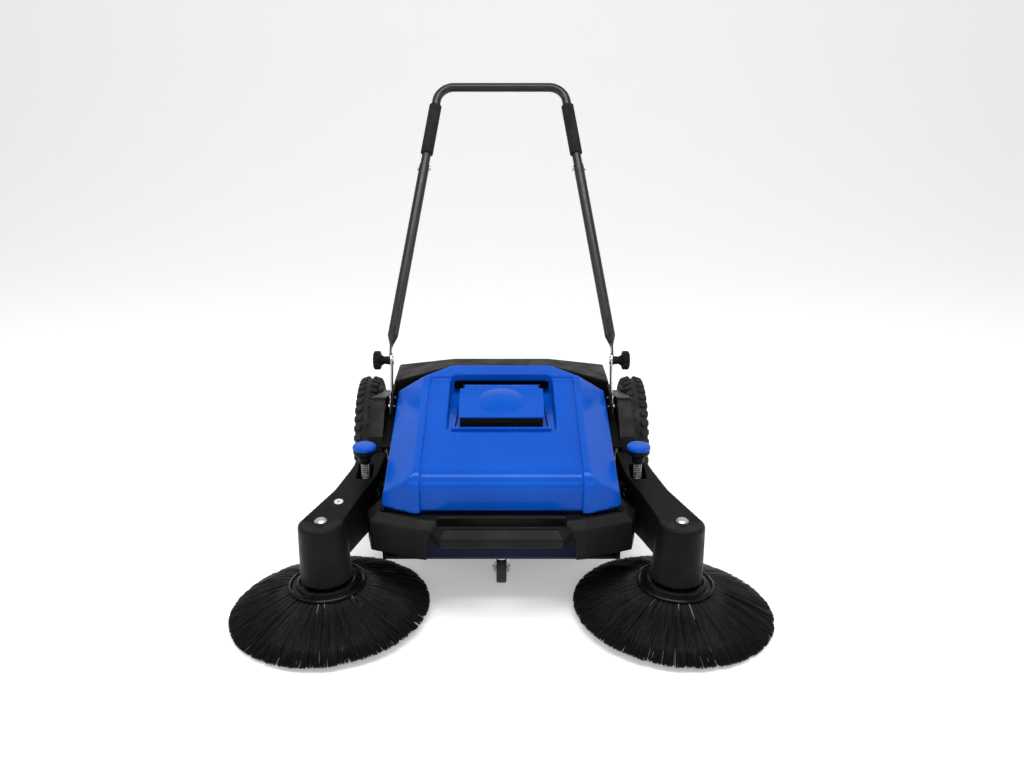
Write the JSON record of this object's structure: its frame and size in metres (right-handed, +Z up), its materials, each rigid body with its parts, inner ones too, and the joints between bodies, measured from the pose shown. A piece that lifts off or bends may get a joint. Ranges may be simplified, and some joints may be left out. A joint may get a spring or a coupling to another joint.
{
  "type": "floor sweeper",
  "caption": "Walk-behind manual floor sweeper with two side brooms, a wheel-driven roller brush, lift-out dust bin, sprung broom arms, swivel caster and folding push handle.",
  "frame": {"origin": "centre of the machine's bounding box, on the floor", "axes": "+Z up; the machine sweeps towards -Y, where the side brooms are; +X to the left of the person pushing it"},
  "size_m": [1.112, 1.0497, 1.0146],
  "materials": {
    "black_plastic": "fine grained moulded polypropylene",
    "bumper_plastic": "fine grained moulded polypropylene, slightly worn",
    "blue_plastic": "glossy moulded plastic",
    "tray_plastic": "dark satin moulded plastic",
    "steel_black": "black powder coat",
    "steel": "zinc plated",
    "gear_plastic": "moulded nylon",
    "tyre": "moulded rubber",
    "rubber": "moulded rubber",
    "foam": "closed-cell foam",
    "bristle": "black polypropylene filaments"
  },
  "bodies": {
    "chassis": {"left_side_frame": "black_plastic", "right_side_frame": "black_plastic", "left_side_cover": "black_plastic", "right_side_cover": "black_plastic", "front_bumper": "bumper_plastic", "rear_cover": "black_plastic", "roller_guard": "black_plastic", "front_beam": "steel_black", "rear_skirt": "rubber", "stub_axles": "steel", "roller_bearings": "steel", "adjuster_rods": "steel", "handle_brackets": "steel", "frame_screws": "steel", "left_adjuster_spring": "steel", "right_adjuster_spring": "steel", "caster_plate": "steel"},
    "left_wheel": {"left_tyre": "tyre", "left_rim": "black_plastic", "left_hub_cap": "black_plastic", "left_drive_gear": "gear_plastic"},
    "right_wheel": {"right_tyre": "tyre", "right_rim": "black_plastic", "right_hub_cap": "black_plastic", "right_drive_pulley": "gear_plastic"},
    "roller": {"roller_shaft": "steel", "roller_core": "black_plastic", "roller_bristles": "bristle", "roller_pinion": "gear_plastic"},
    "left_broom_arm": {"left_arm": "black_plastic", "left_arm_bolt": "steel", "left_drive_belt": "rubber"},
    "right_broom_arm": {"right_arm": "black_plastic", "right_arm_bolt": "steel", "right_drive_belt": "rubber"},
    "left_broom": {"left_broom_plate": "black_plastic", "left_broom_bristles": "bristle", "left_broom_spindle": "steel", "left_broom_pulley": "gear_plastic"},
    "right_broom": {"right_broom_plate": "black_plastic", "right_broom_bristles": "bristle", "right_broom_spindle": "steel", "right_broom_pulley": "gear_plastic"},
    "left_height_knob": {"left_adjuster_knob": "black_plastic", "left_knob_cap": "blue_plastic"},
    "right_height_knob": {"right_adjuster_knob": "black_plastic", "right_knob_cap": "blue_plastic"},
    "handle": {"upper_handle": "steel_black", "lower_tubes": "steel_black", "hand_grips": "foam", "handle_screws": "steel"},
    "left_clamp_knob": {"left_handle_knob": "black_plastic"},
    "right_clamp_knob": {"right_handle_knob": "black_plastic"},
    "dust_bin": {"bin_cover": "blue_plastic", "bin_tray": "tray_plastic", "latch_box": "black_plastic"},
    "flap": {"latch_flap": "blue_plastic"},
    "caster": {"caster_fork": "steel", "caster_axle": "steel"},
    "caster_roller": {"caster_wheel": "rubber"}
  },
  "joints": [
    {"name": "left_wheel_spin", "type": "hinge", "parent": "chassis", "child": "left_wheel", "pos_m": [0.33, 0.23113, 0.158], "axis": [1, 0, 0], "continuous": true},
    {"name": "right_wheel_spin", "type": "hinge", "parent": "chassis", "child": "right_wheel", "pos_m": [-0.33, 0.23113, 0.158], "axis": [1, 0, 0], "continuous": true},
    {"name": "roller_spin", "type": "hinge", "parent": "chassis", "child": "roller", "pos_m": [0, 0.14134, 0.12], "axis": [1, 0, 0], "continuous": true},
    {"name": "left_arm_lift", "type": "hinge", "parent": "chassis", "child": "left_broom_arm", "pos_m": [0.252, 0.23113, 0.158], "axis": [-1, 0, 0], "range_deg": [0, 3], "stiffness_Nm_per_rad": 400, "springref_deg": -1.15, "deforming": ["left_adjuster_spring"]},
    {"name": "left_broom_spin", "type": "hinge", "parent": "left_broom_arm", "child": "left_broom", "pos_m": [0.351, -0.31987, 0.00787], "axis": [0.0384, 0, 0.9993], "continuous": true},
    {"name": "left_height_knob_turn", "type": "hinge", "parent": "chassis", "child": "left_height_knob", "pos_m": [0.293, -0.14287, 0.27], "axis": [0, 0, 1], "continuous": true},
    {"name": "right_arm_lift", "type": "hinge", "parent": "chassis", "child": "right_broom_arm", "pos_m": [-0.252, 0.23113, 0.158], "axis": [-1, 0, 0], "range_deg": [0, 3], "stiffness_Nm_per_rad": 400, "springref_deg": -1.15, "deforming": ["right_adjuster_spring"]},
    {"name": "right_broom_spin", "type": "hinge", "parent": "right_broom_arm", "child": "right_broom", "pos_m": [-0.351, -0.31987, 0.00787], "axis": [-0.0384, 0, 0.9993], "continuous": true},
    {"name": "right_height_knob_turn", "type": "hinge", "parent": "chassis", "child": "right_height_knob", "pos_m": [-0.293, -0.14287, 0.27], "axis": [0, 0, 1], "continuous": true},
    {"name": "handle_fold", "type": "hinge", "parent": "chassis", "child": "handle", "pos_m": [0, 0.11013, 0.405], "axis": [-1, 0, 0], "range_deg": [-120, 30]},
    {"name": "left_clamp_knob_turn", "type": "hinge", "parent": "chassis", "child": "left_clamp_knob", "pos_m": [0.291, 0.11013, 0.405], "axis": [1, 0, 0], "continuous": true},
    {"name": "right_clamp_knob_turn", "type": "hinge", "parent": "chassis", "child": "right_clamp_knob", "pos_m": [-0.291, 0.11013, 0.405], "axis": [1, 0, 0], "continuous": true},
    {"name": "bin_lift", "type": "slide", "parent": "chassis", "child": "dust_bin", "axis": [0, 0, 1], "range_m": [0, 0.3]},
    {"name": "latch_flap_open", "type": "hinge", "parent": "dust_bin", "child": "flap", "pos_m": [0, 0.01513, 0.3735], "axis": [-1, 0, 0], "range_deg": [0, 70]},
    {"name": "caster_swivel", "type": "hinge", "parent": "chassis", "child": "caster", "pos_m": [0, -0.22487, 0.08], "axis": [0, 0, 1], "continuous": true},
    {"name": "caster_wheel_spin", "type": "hinge", "parent": "caster", "child": "caster_roller", "pos_m": [0, -0.19987, 0.032], "axis": [1, 0, 0], "continuous": true}
  ],
  "couplings": [
    {"joint": "roller_spin", "follows": "left_wheel_spin", "ratio": -3.3333},
    {"joint": "left_broom_spin", "follows": "left_wheel_spin", "ratio": -2.1818},
    {"joint": "right_broom_spin", "follows": "right_wheel_spin", "ratio": 2.1818}
  ]
}
